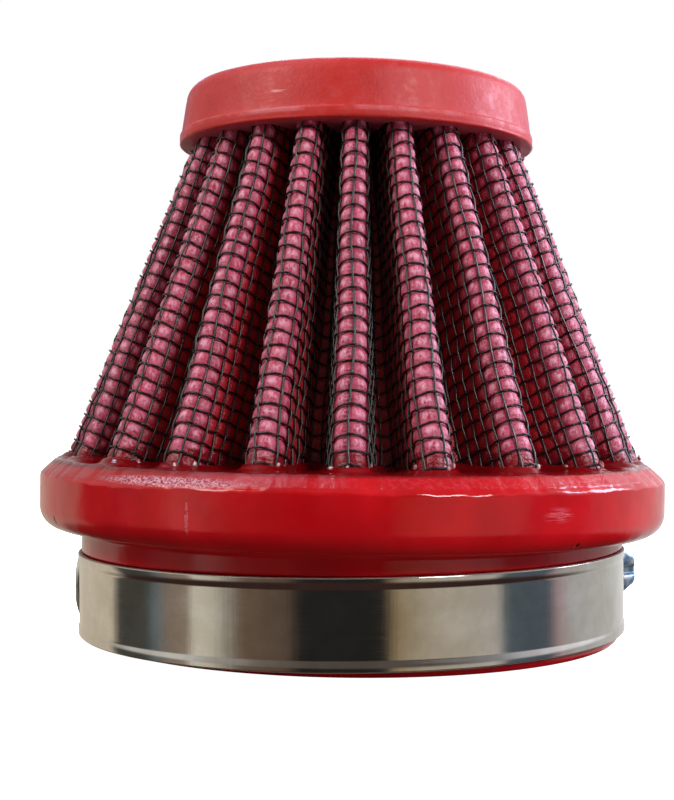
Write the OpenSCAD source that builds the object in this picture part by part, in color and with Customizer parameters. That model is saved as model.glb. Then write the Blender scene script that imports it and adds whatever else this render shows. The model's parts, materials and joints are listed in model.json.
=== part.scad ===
// Cone air filter: a tapered pack of pleats between a moulded end cap and a moulded
// base flange, with a worm-drive band clamp round the neck. The axis is Z, the neck's
// lower end is at Z 0, and the front pleat faces -Y.

/* [Neck and flange] */
// Inside radius of the neck, which slides over a 76 mm intake pipe
bore_r = 38; // [34:0.5:44]
// Wall of the neck
neck_wall = 5; // [3:0.5:7]
// Height of the neck below the flange, beyond the width of the band
neck_over = 4; // [3.4:0.1:9]
// How far the pipe goes in, up to the stop inside the flange
pipe_depth = 17.5; // [12:0.5:20]
// Width of the stop that the end of the pipe meets
stop_w = 4.5; // [2:0.5:6]
// How far the flange stands out from the neck
flange_over = 7.1; // [5:0.1:12]
// Height of the flange
flange_h = 10.8; // [8:0.5:16]
// Rounding of the flange's upper edge
flange_top_round = 2; // [0.5:0.1:3.5]
// Rounding of the flange's lower edge
flange_low_round = 3.5; // [0.5:0.1:4]
// Fillet where the neck meets the flange
neck_fillet = 1; // [0.3:0.1:2]
// Rounding of the neck's lower outer edge
neck_end_round = 0.8; // [0.2:0.1:1.2]

/* [End cap] */
// Radius of the cap above its lip
cap_r = 28.55; // [27.5:0.05:32]
// Height of the cap
cap_h = 9.5; // [6:0.1:14]
// How much the cap narrows from its lip to its top
cap_draft = 0.8; // [0.2:0.1:2]
// Rounding of the cap's upper edge
cap_round = 2.5; // [1:0.1:3]
// Height of the lip round the cap's lower edge
lip_h = 1.8; // [1:0.1:3]
// How far the lip stands out from the cap
lip_over = 0.25; // [0.1:0.05:0.8]

/* [Pleat pack] */
// Number of pleats round the pack
pleat_count = 22; // [16:1:24]
// Height of the pack that shows between the flange and the cap
pack_h = 50.4; // [35:0.1:70]
// How deep each end of the pack sits in the moulding that holds it
pot_depth = 1; // [0.5:0.1:2]
// Room between the pleats and the edge of the flange
foot_inset = 3.7; // [2:0.1:5]
// Room between the pleats and the edge of the cap's lip
head_inset = 1.9; // [0.8:0.05:2.5]
// Depth of a pleat at the flange, from its tip to the inside of its valley
foot_depth = 12.4; // [10:0.1:13]
// Depth of a pleat at the cap
head_depth = 12.5; // [10:0.1:12.8]
// Width of a pleat's tip at the flange
foot_tip_w = 5.8; // [4.5:0.1:6.5]
// Width of a pleat's tip at the cap
head_tip_w = 4.3; // [3.6:0.1:4.6]
// Width of a valley at the flange, measured inside the pack
foot_valley_w = 6; // [4.2:0.1:6.5]
// Width of a valley at the cap, measured inside the pack
head_valley_w = 4.05; // [3.95:0.05:4.2]
// How far the pleats wander from an even spacing, in degrees
pleat_wander = 2; // [0:0.1:2]

/* [Pleat layers] */
// Thickness of the cotton filter medium
media_t = 0.8; // [0.5:0.1:0.9]
// Thickness of each wire screen
screen_t = 0.35; // [0.2:0.05:0.4]
// Height of the woven ridges on the outer screen
ridge_h = 0.3; // [0.1:0.05:0.35]
// Number of cross wires drawn up the outer screen
weft_rows = 9; // [4:1:10]
// Gap between one layer and the next
layer_gap = 0.05; // [0.02:0.01:0.08]

/* [Clamp band] */
// Width of the band
band_w = 12.7; // [9:0.1:13]
// Thickness of the band between its rims
band_t = 0.6; // [0.5:0.05:0.8]
// Width of the raised rim along each edge of the band
rim_w = 1.4; // [0.8:0.1:2]
// Height of the rims above the band
rim_h = 0.15; // [0.05:0.05:0.25]
// Slope of the clamp, higher on the right, in degrees
clamp_tilt = 1; // [0:0.1:1.2]
// Gap between the lowest point of the band and the end of the neck
band_lift = 0.1; // [0.05:0.05:0.5]
// Gap between the band and the neck where they come closest
band_gap = 0.08; // [0.05:0.01:0.3]
// How far the free end of the band runs on round the clamp, in degrees
tail_turn = 137.5; // [90:0.5:180]
// Length of the straight tip of the free end
tail_flat = 8.5; // [7:0.5:12]

/* [Clamp screw] */
// Direction of the screw housing round the neck, in degrees from +X
screw_az = 32; // [0:1:60]
// Radius of the worm
worm_r = 3; // [2.6:0.1:3.4]
// Radius of the journals at the ends of the worm
journal_r = 2; // [1.5:0.1:2.2]
// Running clearance round the worm and its journals
screw_gap = 0.1; // [0.05:0.01:0.2]
// Width of the hexagonal head across its flats
head_af = 7; // [6:0.5:8]
// Length of the hexagonal head
head_l = 5; // [4:0.5:7]
// Width of the slot across the head
slot_w = 1.2; // [0.8:0.1:1.6]
// Depth of the slot across the head
slot_d = 2.4; // [1:0.1:3]
// How far the head stands turned at rest, in degrees
head_turn = -30; // [-60:5:60]
// Thickness of the collar under the head
collar_t = 1; // [0.6:0.1:1.5]
// Length of the screw housing along the screw
housing_l = 13; // [11:0.5:15]
// Wall of the screw housing
housing_t = 0.9; // [0.6:0.1:1.2]

/* [Hidden] */
$fn = 96;
eps = 1;

// Heights of the neck and of the joints between the mouldings and the pack
neck_h = band_lift + band_w + neck_over;
flange_top_z = neck_h + flange_h;
cap_low_z = flange_top_z + pack_h;
cap_top_z = cap_low_z + cap_h;

// Radii of the mouldings
neck_r = bore_r + neck_wall;
flange_r = neck_r + flange_over;
throat_r = bore_r - stop_w;
lip_r = cap_r + lip_over;

// Offsets of each layer's faces from the middle of the medium
media_out = media_t / 2;
screen_in_face = media_out + layer_gap;
screen_out_face = screen_in_face + screen_t;
ridge_face = screen_out_face + ridge_h;

// Radii of the pleat folds at the middle of the medium, as [flange end, cap end]
tip_fold_r = [foot_tip_w / 2 - ridge_face, head_tip_w / 2 - ridge_face];
valley_fold_r = [foot_valley_w / 2 - screen_out_face, head_valley_w / 2 - screen_out_face];
tip_reach = [flange_r - foot_inset, lip_r - head_inset];
tip_ring_r = [for (e = [0, 1]) tip_reach[e] - ridge_face - tip_fold_r[e]];
valley_ring_r = [
    tip_reach[0] - foot_depth + screen_out_face + valley_fold_r[0],
    tip_reach[1] - head_depth + screen_out_face + valley_fold_r[1]
];
pot_share = pot_depth / pack_h;
front_az = -90.4;

// Clamp
band_in_r = neck_r + band_gap + band_w / 2 * sin(clamp_tilt);
band_out_r = band_in_r + band_t + rim_h;
tail_in_r = band_out_r + layer_gap;
tail_out_r = tail_in_r + band_t + rim_h;
clamp_z = band_lift + band_w / 2 * cos(clamp_tilt) + tail_out_r * sin(clamp_tilt);
screw_ring_r = tail_out_r + screw_gap + worm_r;
joggle_turn = atan((housing_l / 2 - 0.5) / tail_in_r);
joggle_start = screw_az - joggle_turn;
joggle_lap = 0.4;
tail_end_az = screw_az + tail_turn;
arch_r = worm_r + screw_gap + housing_t;
worm_half = housing_l / 2 - housing_t - screw_gap;
collar_r = head_af / 2 + 0.35;
stub_l = 0.8;
// The joggle and the tip of the strip are pressed this much thinner on each face
press = 0.05;

function spin(a) = [cos(a), sin(a)];
function mix(a, b, t) = a + (b - a) * t;

// Direction of pleat k's tip: hand-gathered pleats are least even on the +X side
function tip_az(k) =
    let (even = 360 / pleat_count * k)
    front_az + even - pleat_wander * sin(5 * even) * (1 + sin(even)) / 2;

// Half of the turn that the paper makes round a tip, where neighbouring tips are p apart
function tip_turn(e, p) =
    let (
        across = valley_ring_r[e] * spin(p / 2) - [tip_ring_r[e], 0],
        reach = norm(across)
    )
    atan2(across[1], across[0]) - acos((tip_fold_r[e] + valley_fold_r[e]) / reach);

// Point on the tip of a pleat at direction az, a degrees round its fold
function on_tip(e, d, az, a) = tip_ring_r[e] * spin(az) + (tip_fold_r[e] + d) * spin(az + a);

// Point in the valley at direction az, a degrees round its fold
function in_valley(e, d, az, a) =
    valley_ring_r[e] * spin(az) + (valley_fold_r[e] - d) * spin(az + 180 + a);

// Ten points from the tip of pleat k to just before the next tip, at offset d
function fold(e, d, k) =
    let (
        az = tip_az(k),
        next = tip_az(k + 1),
        middle = (az + next) / 2,
        turn = tip_turn(e, next - az),
        dip = turn - (next - az) / 2,
        leave = on_tip(e, d, az, turn),
        enter = in_valley(e, d, middle, dip),
        exit = in_valley(e, d, middle, -dip),
        meet = on_tip(e, d, next, -turn)
    )
    [
        on_tip(e, d, az, 0), on_tip(e, d, az, turn / 2), leave,
        mix(leave, enter, 0.5),
        enter, in_valley(e, d, middle, 0), exit,
        mix(exit, meet, 0.5),
        meet, on_tip(e, d, next, -turn / 2)
    ];

// Outline of the pack at offset d: end 0 is at the flange and end 1 at the cap
function outline(e, d) = [for (k = [0 : pleat_count - 1]) each fold(e, d, k)];

// The same outline at share t of the pack's height
function outline_at(t, d) =
    let (low = outline(0, d), high = outline(1, d))
    [for (i = [0 : len(low) - 1]) mix(low[i], high[i], t)];
function ring_at(t, d) =
    [for (p = outline_at(t, d)) [p[0], p[1], flange_top_z + pack_h * t]];

// A ring of the woven face: every second point carries a long wire, and a cross wire lifts all
function woven_ring(t, cross) =
    let (
        face = ring_at(t, screen_out_face),
        crest = ring_at(t, ridge_face)
    )
    [for (i = [0 : len(face) - 1]) (cross || i % 2 == 0) ? crest[i] : face[i]];

// A closed wall between two stacks of rings, with a triangle strip for each pair of rings
module wall(outer, inner) {
    n = len(outer[0]);
    top_out = len(outer) - 1;
    top_in = len(inner) - 1;
    base_in = n * len(outer);
    outside = [
        for (j = [0 : top_out - 1]) for (i = [0 : n - 1])
            let (a = j * n + i, b = j * n + (i + 1) % n)
            each [[a, a + n, b + n], [a, b + n, b]]
    ];
    inside = [
        for (j = [0 : top_in - 1]) for (i = [0 : n - 1])
            let (a = base_in + j * n + i, b = base_in + j * n + (i + 1) % n)
            each [[a, b + n, a + n], [a, b, b + n]]
    ];
    foot = [
        for (i = [0 : n - 1])
            let (a = i, b = (i + 1) % n)
            each [[a, b, base_in + b], [a, base_in + b, base_in + a]]
    ];
    head = [
        for (i = [0 : n - 1])
            let (
                a = top_out * n + i,
                b = top_out * n + (i + 1) % n,
                c = base_in + top_in * n + i,
                d = base_in + top_in * n + (i + 1) % n
            )
            each [[a, d, b], [a, c, d]]
    ];
    polyhedron(
        points = [for (ring = concat(outer, inner)) each ring],
        faces = concat(outside, inside, foot, head),
        convexity = 20
    );
}

// A plain layer of the pack between two offsets
module layer(out_face, in_face) {
    ends = [-pot_share, 1 + pot_share];
    wall(
        [for (t = ends) ring_at(t, out_face)],
        [for (t = ends) ring_at(t, in_face)]
    );
}

// The groove that one end of the pack sits in, from the shares of the height where the
// pack's outer face reaches furthest out and its inner face furthest in
module pack_groove(wide, narrow) {
    linear_extrude(height = pot_depth)
        difference() {
            polygon(outline_at(wide, screen_out_face + layer_gap));
            polygon(outline_at(narrow, -screen_out_face - layer_gap));
        }
}

// What a rounding of radius r takes off a corner whose edges run along +X and +Y
module corner_cut(r) {
    difference() {
        square(r);
        translate([r, r]) circle(r);
    }
}

// Flange and neck, one moulding
module base_flange() {
    color("#b3121a")
    difference() {
        rotate_extrude()
            base_section();
        translate([0, 0, flange_top_z - pot_depth])
            pack_groove(-pot_share, 0);
    }
}

module base_section() {
    difference() {
        union() {
            translate([bore_r, 0])
                square([neck_wall, flange_top_z]);
            translate([throat_r, pipe_depth])
                square([flange_r - throat_r, flange_top_z - pipe_depth]);
            translate([bore_r, neck_h])
                square([flange_r - bore_r, flange_h]);
            translate([neck_r, neck_h])
                mirror([0, 1])
                    corner_cut(neck_fillet);
        }
        translate([flange_r, flange_top_z])
            rotate(180)
                corner_cut(flange_top_round);
        translate([flange_r, neck_h])
            rotate(90)
                corner_cut(flange_low_round);
        translate([neck_r, 0])
            rotate(90)
                corner_cut(neck_end_round);
    }
}

// End cap with its lip, one moulding
module end_cap() {
    color("#c8372f")
    difference() {
        rotate_extrude()
            cap_section();
        translate([0, 0, cap_low_z])
            pack_groove(1, 1 + pot_share);
    }
}

module cap_section() {
    lean = atan(cap_draft / cap_h);
    top_r = cap_r - cap_draft;
    round_x = top_r - cap_round * (1 - sin(lean)) / cos(lean);
    edge_x = round_x + cap_round * cos(lean);
    edge_z = cap_top_z - cap_round * (1 - sin(lean));
    polygon([
        [0, cap_low_z], [cap_r, cap_low_z], [edge_x, edge_z],
        [round_x, cap_top_z], [0, cap_top_z]
    ]);
    translate([round_x, cap_top_z - cap_round])
        circle(cap_round);
    difference() {
        translate([0, cap_low_z])
            square([lip_r, lip_h]);
        translate([lip_r, cap_low_z])
            rotate(90)
                corner_cut(lip_h / 3);
        translate([lip_r, cap_low_z + lip_h])
            rotate(180)
                corner_cut(lip_h / 6);
    }
}

module filter_media() {
    color("#c24e72")
        layer(media_out, -media_out);
}

// Outer wire screen: one wall whose outer face has the ridges of the weave
module outer_screen() {
    steps = 2 * weft_rows;
    color("#4b4f50")
        wall(
            concat(
                [ring_at(-pot_share, screen_out_face), ring_at(0, screen_out_face)],
                [for (j = [1 : steps - 1]) woven_ring(j / steps, j % 2 == 1)],
                [ring_at(1, screen_out_face), ring_at(1 + pot_share, screen_out_face)]
            ),
            [for (t = [-pot_share, 1 + pot_share]) ring_at(t, screen_in_face)]
        );
}

module inner_screen() {
    color("#6d7173")
        layer(-screen_in_face, -screen_out_face);
}

// Places its children in the clamp's own frame, which slopes a little on the neck
module on_clamp() {
    translate([0, 0, clamp_z])
        rotate([0, -clamp_tilt, 0])
            children();
}

// Section of the strip from inner radius r, with a raised rim along each edge
module strip_section(r) {
    translate([r, -band_w / 2])
        square([band_t, band_w]);
    for (side = [0, 1])
        mirror([0, side])
            translate([r, band_w / 2 - rim_w])
                square([band_t + rim_h, rim_w]);
}

// Joggle inside the housing, pressed a little thinner, where the strip steps up onto its
// first turn
module joggle() {
    from = band_in_r * spin(joggle_start);
    run = tail_in_r * spin(screw_az) - from;
    translate([from[0], from[1], 0])
        rotate(atan2(run[1], run[0]))
            translate([-joggle_lap, press - band_t, press - band_w / 2])
                cube([norm(run) + 2 * joggle_lap, band_t - 2 * press, band_w - 2 * press]);
}

// Straight tip of the free end, pressed a little thinner, with a round end
module tail_tip() {
    tip_round = 0.52 * band_w;
    rotate(tail_end_az)
        translate([tail_in_r + press, 0, 0])
            intersection() {
                translate([0, -joggle_lap, press - band_w / 2])
                    cube([band_t - 2 * press, tail_flat + joggle_lap, band_w - 2 * press]);
                translate([-eps, tail_flat - tip_round, 0])
                    rotate([0, 90, 0])
                        cylinder(r = tip_round, h = band_t + 2 * eps);
            }
}

// One strip: a full turn round the neck, up through the housing, and on as the free end
module clamp_band() {
    color("#a8a8a2")
    on_clamp() {
        rotate(screw_az)
            rotate_extrude(angle = 360 - joggle_turn)
                strip_section(band_in_r);
        joggle();
        rotate(screw_az)
            rotate_extrude(angle = tail_turn)
                strip_section(tail_in_r);
        tail_tip();
    }
}

// Places its children on the screw's axis, with Z along it and away from the head
module on_screw() {
    on_clamp()
        rotate(screw_az)
            translate([screw_ring_r, 0, 0])
                rotate([-90, 0, 0])
                    children();
}

// Stamped housing: an arch over the worm, end walls for its journals, and skirts past the band
module clamp_housing() {
    skirt_w = band_w + 2 * housing_t;
    brim_top = tail_out_r + layer_gap + housing_t;
    color("#9fa4a4")
    difference() {
        union() {
            on_screw() {
                cylinder(r = arch_r, h = housing_l, center = true);
                translate([(brim_top - screw_ring_r) / 2 - worm_r / 2, 0, 0])
                    cube([screw_ring_r - brim_top + worm_r, 2 * arch_r, housing_l], center = true);
            }
            on_clamp()
                rotate(screw_az)
                    translate([0, -housing_l / 2, -skirt_w / 2])
                        cube([brim_top, housing_l, skirt_w]);
        }
        on_screw() {
            cylinder(r = worm_r + screw_gap, h = 2 * (worm_half + screw_gap), center = true);
            translate([-worm_r, 0, 0])
                cube(
                    [2 * worm_r, 2 * (worm_r + screw_gap), 2 * (worm_half + screw_gap)],
                    center = true
                );
            cylinder(r = journal_r + screw_gap, h = housing_l + 2 * eps, center = true);
        }
        on_clamp() {
            cylinder(r = tail_out_r + layer_gap, h = band_w, center = true);
            cylinder(r = band_in_r, h = skirt_w + 2 * eps, center = true);
        }
    }
}

// Worm screw with its journals, collar and slotted hexagonal head
module clamp_screw() {
    collar_z = -housing_l / 2 - screw_gap;
    head_z = collar_z - collar_t;
    tip_z = head_z - head_l;
    color("#5f8fa8")
    on_screw() {
        cylinder(r = worm_r, h = 2 * worm_half, center = true);
        translate([0, 0, collar_z])
            cylinder(r = journal_r, h = housing_l + screw_gap + stub_l);
        translate([0, 0, head_z])
            cylinder(r = collar_r, h = collar_t);
        rotate(head_turn)
            difference() {
                intersection() {
                    translate([0, 0, tip_z])
                        cylinder(r = head_af / sqrt(3), h = head_l, $fn = 6);
                    translate([0, 0, tip_z])
                        cylinder(
                            r1 = head_af / 2 - 0.1,
                            r2 = head_af / 2 - 0.1 + head_l * 1.7,
                            h = head_l
                        );
                }
                translate([-head_af, -slot_w / 2, tip_z - eps])
                    cube([2 * head_af, slot_w, slot_d + eps]);
            }
    }
}

base_flange();
end_cap();
filter_media();
outer_screen();
inner_screen();
clamp_band();
clamp_housing();
clamp_screw();
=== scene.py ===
"""Cone air filter: the looks of its mouldings, folded cotton, woven screens and band clamp."""

import json
import math

import bpy
import numpy as np
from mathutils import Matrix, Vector
from mathutils.kdtree import KDTree


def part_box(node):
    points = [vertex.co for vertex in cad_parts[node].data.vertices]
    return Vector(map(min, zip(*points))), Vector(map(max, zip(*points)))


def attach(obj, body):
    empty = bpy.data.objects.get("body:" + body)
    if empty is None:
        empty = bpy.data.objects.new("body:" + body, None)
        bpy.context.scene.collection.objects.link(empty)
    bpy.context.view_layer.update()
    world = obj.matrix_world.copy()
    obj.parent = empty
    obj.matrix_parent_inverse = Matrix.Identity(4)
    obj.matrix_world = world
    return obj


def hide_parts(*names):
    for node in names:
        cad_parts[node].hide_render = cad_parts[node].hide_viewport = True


MM = 0.001
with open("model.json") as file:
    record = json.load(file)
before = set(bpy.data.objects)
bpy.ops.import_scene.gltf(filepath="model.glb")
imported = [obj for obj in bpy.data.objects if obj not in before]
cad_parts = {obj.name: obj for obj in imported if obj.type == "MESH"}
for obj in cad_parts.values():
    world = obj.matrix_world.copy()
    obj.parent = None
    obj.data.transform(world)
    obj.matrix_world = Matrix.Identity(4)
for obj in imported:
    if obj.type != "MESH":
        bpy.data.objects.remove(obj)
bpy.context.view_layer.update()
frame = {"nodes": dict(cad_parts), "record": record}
nodes = frame["nodes"]


def mm_box(node):
    """Lowest and highest corner of a solid, in millimetres."""
    return np.array(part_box(node)) / MM


# Sizes in millimetres. Heights and outer radii come from the solids
flange_high = mm_box("base_flange")[1]
cap_low, cap_high = mm_box("end_cap")
FLANGE_R = flange_high[1]
FLANGE_TOP_Z = flange_high[2]
CAP_LOW_Z = cap_low[2]
CAP_TOP_Z = cap_high[2]
LIP_R = cap_high[1]
mounts = frame["record"]["mounts"]
BORE_R = next(m for m in mounts if m["name"] == "neck_bore")["dims"]["r_mm"]
NECK_R = BORE_R + 5.0
NECK_H = 16.8
PIPE_DEPTH = 17.5
THROAT_R = BORE_R - 4.5
# The pack between the flange and the cap, and how deep it is potted in each
PACK_H = CAP_LOW_Z - FLANGE_TOP_Z
POT_DEPTH = 1.0
PLEATS = 22
# Warp wires run up the pleats and wefts run round; the first and last wefts lie in the resin
WARPS = 280
WEFTS = 25
LAST_WEFT = 27
WIRE_R = 0.155
# How far a wire bends out and in where it crosses others
WEAVE = 0.15
# Distances from the middle of the cotton: its face, the screens' wires, and the solids' faces
MEDIA_HALF = 0.4
SCREEN_MID = 0.775
SCREEN_FACE = 0.8
RIDGE_FACE = 1.1


# Mesh building


def unit(angle):
    return np.stack([np.cos(angle), np.sin(angle)], axis=-1)


def smooth_noise(x, seed, waves=5):
    """A wandering value between about -1 and 1 along x, in radians round the part."""
    rng = np.random.default_rng(seed)
    total = np.zeros_like(np.asarray(x, dtype=float))
    for k in range(1, waves + 1):
        total = total + np.sin(k * np.asarray(x) + rng.uniform(0, 2 * math.pi)) / math.sqrt(k)
    return total / math.sqrt(waves)


def soft_step(x):
    """0 below 0 and 1 above 1, with an even slope to both ends."""
    x = np.clip(x, 0, 1)
    return x * x * (3 - 2 * x)


def new_piece(name, points, faces, material, smooth=True, uv=None):
    """A mesh object from points in millimetres."""
    mesh = bpy.data.meshes.new(name)
    mesh.from_pydata((np.asarray(points) * MM).tolist(), [], faces)
    if uv is not None:
        layer = mesh.uv_layers.new(name="cloth")
        corner = np.zeros(len(mesh.loops), dtype=np.int64)
        mesh.loops.foreach_get("vertex_index", corner)
        layer.data.foreach_set("uv", np.asarray(uv)[corner].astype(np.float32).ravel())
    mesh.polygons.foreach_set("use_smooth", [smooth] * len(mesh.polygons))
    mesh.materials.append(material)
    mesh.update()
    piece = bpy.data.objects.new(name, mesh)
    bpy.context.scene.collection.objects.link(piece)
    return piece


def grid_faces(rows, columns, first=0, close_rows=False, flip=False):
    """Quads over a grid of points whose columns, and rows if asked, are joined end to end."""
    r = np.arange(rows if close_rows else rows - 1)
    rr, cc = np.meshgrid(r, np.arange(columns), indexing="ij")
    r2 = (rr + 1) % rows
    c2 = (cc + 1) % columns
    quads = np.stack(
        [rr * columns + cc, rr * columns + c2, r2 * columns + c2, r2 * columns + cc], axis=-1
    ).reshape(-1, 4)
    if flip:
        quads = quads[:, ::-1]
    return (quads + first).tolist()


def tubes(paths, outs, radius, sides, closed):
    """Round wires along paths of shape (wires, points, 3); outs is a direction across each path."""
    wires, count, _ = paths.shape
    if closed:
        along = np.roll(paths, -1, axis=1) - np.roll(paths, 1, axis=1)
    else:
        along = np.gradient(paths, axis=1)
    along /= np.linalg.norm(along, axis=2, keepdims=True)
    outs = outs - along * np.sum(outs * along, axis=2, keepdims=True)
    outs /= np.linalg.norm(outs, axis=2, keepdims=True)
    side = np.cross(along, outs)
    turn = np.arange(sides) * 2 * math.pi / sides
    ring = (
        paths[:, :, None, :]
        + radius * np.cos(turn)[None, None, :, None] * outs[:, :, None, :]
        + radius * np.sin(turn)[None, None, :, None] * side[:, :, None, :]
    )
    faces = []
    for w in range(wires):
        faces += grid_faces(count, sides, w * count * sides, close_rows=closed)
    return ring.reshape(-1, 3), faces


# The folded wall of the pleat pack


def tip_direction(k):
    """Direction of pleat k's tip, in radians; the same wander as the solids have."""
    even = 2 * math.pi / PLEATS * k
    return math.radians(-90.4) + even - math.radians(2) * np.sin(5 * even) * (1 + np.sin(even)) / 2


TIP_AZ = tip_direction(np.arange(PLEATS + 1))
GAP = np.diff(TIP_AZ)
MIDDLE_AZ = (TIP_AZ[1:] + TIP_AZ[:-1]) / 2


def fold_end(reach, depth, tip_w, valley_w):
    """Sizes of the folds at one end of the pack, for the middle of the cotton."""
    end = {"tip_fold": tip_w / 2 - RIDGE_FACE, "valley_fold": valley_w / 2 - SCREEN_FACE}
    end["tip_ring"] = reach - RIDGE_FACE - end["tip_fold"]
    end["valley_ring"] = reach - depth + SCREEN_FACE + end["valley_fold"]
    end["reach"] = reach - RIDGE_FACE
    across = end["valley_ring"] * unit(GAP / 2) - np.array([end["tip_ring"], 0.0])
    span = np.linalg.norm(across, axis=1)
    folds = end["tip_fold"] + end["valley_fold"]
    end["turn"] = np.arctan2(across[:, 1], across[:, 0]) - np.arccos(folds / span)
    flank = np.sqrt(span**2 - folds**2)
    arc = end["tip_fold"] * end["turn"]
    valley = end["valley_fold"] * 2 * (end["turn"] - GAP / 2)
    end["lengths"] = np.stack([arc, flank, valley, flank, arc], axis=-1)
    return end


FOOT = fold_end(FLANGE_R - 3.7, 12.4, 5.8, 6.0)
HEAD = fold_end(LIP_R - 1.9, 12.5, 4.3, 4.05)
MEAN_LENGTHS = (FOOT["lengths"] + HEAD["lengths"]) / 2
MARKS = np.cumsum(MEAN_LENGTHS, axis=1) / MEAN_LENGTHS.sum(axis=1, keepdims=True)
MARKS = np.concatenate([np.zeros((PLEATS, 1)), MARKS], axis=1)
# Wires across the cloth lie square to the slanted tips, so they drop towards the valleys
FALL = (FOOT["reach"] - HEAD["reach"]) / PACK_H**2


def outline(run, end):
    """Points of the folded wall and its outward directions at one end; run counts pleats."""
    k = np.floor(run).astype(int) % PLEATS
    share = run - np.floor(run)
    marks = MARKS[k]
    part = np.clip((share[..., None] >= marks).sum(axis=-1) - 1, 0, 4)[..., None]
    low = np.take_along_axis(marks, part, -1)
    high = np.take_along_axis(marks, part + 1, -1)
    t = (share[..., None] - low) / (high - low)
    start, stop, middle, turn = TIP_AZ[k], TIP_AZ[k + 1], MIDDLE_AZ[k], end["turn"][k]
    dip = turn - GAP[k] / 2
    tip_a = end["tip_ring"] * unit(start)
    tip_b = end["tip_ring"] * unit(stop)
    valley = end["valley_ring"] * unit(middle)
    n_out = unit(start + turn)
    n_back = unit(stop - turn)
    leave = tip_a + end["tip_fold"] * n_out
    enter = valley - end["valley_fold"] * n_out
    rise = valley - end["valley_fold"] * n_back
    meet = tip_b + end["tip_fold"] * n_back
    a1 = unit(start + turn * t[..., 0])
    a3 = unit(middle + dip * (1 - 2 * t[..., 0]))
    a5 = unit(stop - turn * (1 - t[..., 0]))
    places = [
        tip_a + end["tip_fold"] * a1,
        leave + (enter - leave) * t,
        valley - end["valley_fold"] * a3,
        rise + (meet - rise) * t,
        tip_b + end["tip_fold"] * a5,
    ]
    return np.choose(part, places), np.choose(part, [a1, n_out, a3, n_back, a5])


def on_cloth(u, v):
    """Middle of the cotton and its outward direction at warp number u and weft number v."""
    around = u * 2 * math.pi / WARPS
    # Warps waver by a tenth of their spacing and wefts by a quarter, and crossings shift in turn
    u = u + 0.11 * np.sin(0.45 * v + 5 * smooth_noise(around * 2, 41, 4))
    v = v + 0.25 * smooth_noise(around * 3, 11) + 0.05 * smooth_noise(around * PLEATS, 5, 3)
    v = v + 0.05 * np.cos(math.pi * v) * np.cos(math.pi * u)
    run = u * PLEATS / WARPS
    foot, foot_out = outline(run, FOOT)
    head, head_out = outline(run, HEAD)
    foot_deep = FOOT["reach"] - np.linalg.norm(foot, axis=-1)
    head_deep = HEAD["reach"] - np.linalg.norm(head, axis=-1)
    share = ((v + 0.5) / WEFTS - FALL * foot_deep) / (1 + FALL * (head_deep - foot_deep))
    # Each weft sags by half a millimetre beside a tip, so it arches over it
    share = share - 0.5 * (1 - np.exp(-foot_deep / 0.9)) / PACK_H
    pot = POT_DEPTH / PACK_H
    share = (np.clip(share, -pot, 1 + pot) + 1e-5 * v)[..., None]
    flat = foot * (1 - share) + head * share
    way = foot_out * (1 - share) + head_out * share
    z = FLANGE_TOP_Z + PACK_H * share
    return np.concatenate([flat, z], axis=-1), np.concatenate([way, 0 * z], axis=-1)


# Colours and materials

# Settings that many nodes share. MapRange sockets 0 to 4 are the value, the range it comes from
# and the range it goes to; a colour Mix has its factor at socket 0 and its colours at 6 and 7
SOFT = {"interpolation_type": "SMOOTHSTEP"}
COLOURS = {"data_type": "RGBA"}
PRODUCT = {"operation": "MULTIPLY"}


def srgb(code, alpha=1.0):
    """Linear colour from an sRGB hex code."""
    values = [int(code[i : i + 2], 16) / 255 for i in (1, 3, 5)]
    linear = [v / 12.92 if v <= 0.04045 else ((v + 0.055) / 1.055) ** 2.4 for v in values]
    return (*linear, alpha)


def add(tree, kind, links=None, **settings):
    """Adds a node with its settings; links maps its sockets to values, to outputs or to nodes.

    A node that is given stands for the first output that it has in use.
    """
    node = tree.nodes.new("ShaderNode" + kind)
    for name, value in settings.items():
        setattr(node, name, value)
    for socket, value in (links or {}).items():
        if isinstance(value, bpy.types.Node):
            value = next(output for output in value.outputs if output.enabled)
        if isinstance(value, bpy.types.NodeSocket):
            tree.links.new(value, node.inputs[socket])
        else:
            node.inputs[socket].default_value = value
    return node


def new_material(name):
    """An empty node material, its tree, and the place on the part in millimetres."""
    material = bpy.data.materials.new(name)
    material.use_nodes = True
    tree = material.node_tree
    tree.nodes.clear()
    place = add(tree, "TexCoord").outputs["Object"]
    return material, tree, add(tree, "VectorMath", {0: place, "Scale": 1 / MM}, operation="SCALE")


def finish(material, sockets, relief=(), corners=None):
    """Ends a material: its shader's sockets, relief as (height, depth in mm), worn corners first."""
    tree = material.node_tree
    normal = {"Normal": corners} if corners else {}
    for height, depth in relief:
        links = {"Height": height, "Distance": depth * MM, "Strength": 1.0, **normal}
        normal = {"Normal": add(tree, "Bump", links)}
    shader = add(tree, "BsdfPrincipled", {**sockets, **normal})
    add(tree, "OutputMaterial", {"Surface": shader})
    return material


def blotches(tree, mm, size, low, high, detail=3.0, rough=0.5, to=(0.0, 1.0)):
    """Soft-edged blotches about size millimetres across, where a noise rises from low to high."""
    noise = {"Vector": mm, "Scale": 1 / size, "Detail": detail, "Roughness": rough}
    cloud = add(tree, "TexNoise", noise)
    return add(tree, "MapRange", {0: cloud, 1: low, 2: high, 3: to[0], 4: to[1]}, **SOFT)


def streaks(tree, mm, per_mm, detail=3.0, rough=0.5):
    """Noise drawn out along the part; per_mm is its waves in a millimetre of X, Y and Z."""
    drawn = add(tree, "Mapping", {"Vector": mm, "Scale": per_mm})
    noise = {"Vector": drawn, "Scale": 1.0, "Detail": detail, "Roughness": rough}
    return add(tree, "TexNoise", noise)


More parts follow.
